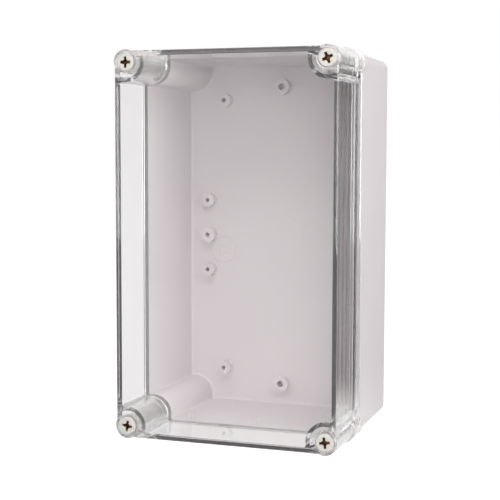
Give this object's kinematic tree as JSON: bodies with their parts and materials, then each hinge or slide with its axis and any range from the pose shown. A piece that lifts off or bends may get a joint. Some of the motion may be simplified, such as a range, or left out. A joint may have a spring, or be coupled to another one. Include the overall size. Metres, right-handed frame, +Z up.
{
  "type": "plastic enclosure",
  "caption": "Wall-mount plastic enclosure with a light grey base, a deep clear screw-down cover, a foamed gasket, corner screws and inner bosses.",
  "frame": {"origin": "middle of the footprint under the box, on the surface it stands on, upright as in the picture", "axes": "+Z up along the longest side, +X across to the right seen from the front, +Y from the clear cover to the back"},
  "size_m": [0.15, 0.13, 0.25],
  "materials": {
    "base_plastic": "fine satin moulded, light warm grey",
    "cover_clear": "clear moulded, glossy",
    "gasket_foam": "foamed in place, dark grey",
    "cap_plastic": "moulded, off-white",
    "screw_steel": "plated steel",
    "washer_plastic": "natural moulded",
    "insert_brass": "turned"
  },
  "bodies": {
    "base": {"base": "base_plastic", "threaded_insert_top_left": "insert_brass", "threaded_insert_top_right": "insert_brass", "threaded_insert_bottom_left": "insert_brass", "threaded_insert_bottom_right": "insert_brass"},
    "cover": {"cover": "cover_clear", "gasket": "gasket_foam"},
    "washer_top_left": {"retaining_washer_top_left": "washer_plastic"},
    "screw_top_left": {"screw_core_top_left": "screw_steel", "screw_cap_top_left": "cap_plastic"},
    "washer_top_right": {"retaining_washer_top_right": "washer_plastic"},
    "screw_top_right": {"screw_core_top_right": "screw_steel", "screw_cap_top_right": "cap_plastic"},
    "washer_bottom_left": {"retaining_washer_bottom_left": "washer_plastic"},
    "screw_bottom_left": {"screw_core_bottom_left": "screw_steel", "screw_cap_bottom_left": "cap_plastic"},
    "washer_bottom_right": {"retaining_washer_bottom_right": "washer_plastic"},
    "screw_bottom_right": {"screw_core_bottom_right": "screw_steel", "screw_cap_bottom_right": "cap_plastic"}
  },
  "joints": [
    {"name": "cover_lift_off", "type": "slide", "parent": "base", "child": "cover", "axis": [0, -1, 0], "range_m": [0, 0.12]},
    {"name": "screw_lift_top_left", "type": "slide", "parent": "cover", "child": "washer_top_left", "axis": [0, -1, 0], "range_m": [0, 0.0088]},
    {"name": "screw_turn_top_left", "type": "hinge", "parent": "washer_top_left", "child": "screw_top_left", "pos_m": [-0.066, 0, 0.241], "axis": [0, -1, 0], "range_deg": [0, 3960]},
    {"name": "screw_lift_top_right", "type": "slide", "parent": "cover", "child": "washer_top_right", "axis": [0, -1, 0], "range_m": [0, 0.0088]},
    {"name": "screw_turn_top_right", "type": "hinge", "parent": "washer_top_right", "child": "screw_top_right", "pos_m": [0.066, 0, 0.241], "axis": [0, -1, 0], "range_deg": [0, 3960]},
    {"name": "screw_lift_bottom_left", "type": "slide", "parent": "cover", "child": "washer_bottom_left", "axis": [0, -1, 0], "range_m": [0, 0.0088]},
    {"name": "screw_turn_bottom_left", "type": "hinge", "parent": "washer_bottom_left", "child": "screw_bottom_left", "pos_m": [-0.066, 0, 0.009], "axis": [0, -1, 0], "range_deg": [0, 3960]},
    {"name": "screw_lift_bottom_right", "type": "slide", "parent": "cover", "child": "washer_bottom_right", "axis": [0, -1, 0], "range_m": [0, 0.0088]},
    {"name": "screw_turn_bottom_right", "type": "hinge", "parent": "washer_bottom_right", "child": "screw_bottom_right", "pos_m": [0.066, 0, 0.009], "axis": [0, -1, 0], "range_deg": [0, 3960]}
  ],
  "couplings": [
    {"joint": "screw_turn_top_left", "follows": "screw_lift_top_left", "rad_per_m": 7853.9},
    {"joint": "screw_turn_top_right", "follows": "screw_lift_top_right", "rad_per_m": 7853.9},
    {"joint": "screw_turn_bottom_left", "follows": "screw_lift_bottom_left", "rad_per_m": 7853.9},
    {"joint": "screw_turn_bottom_right", "follows": "screw_lift_bottom_right", "rad_per_m": 7853.9}
  ]
}
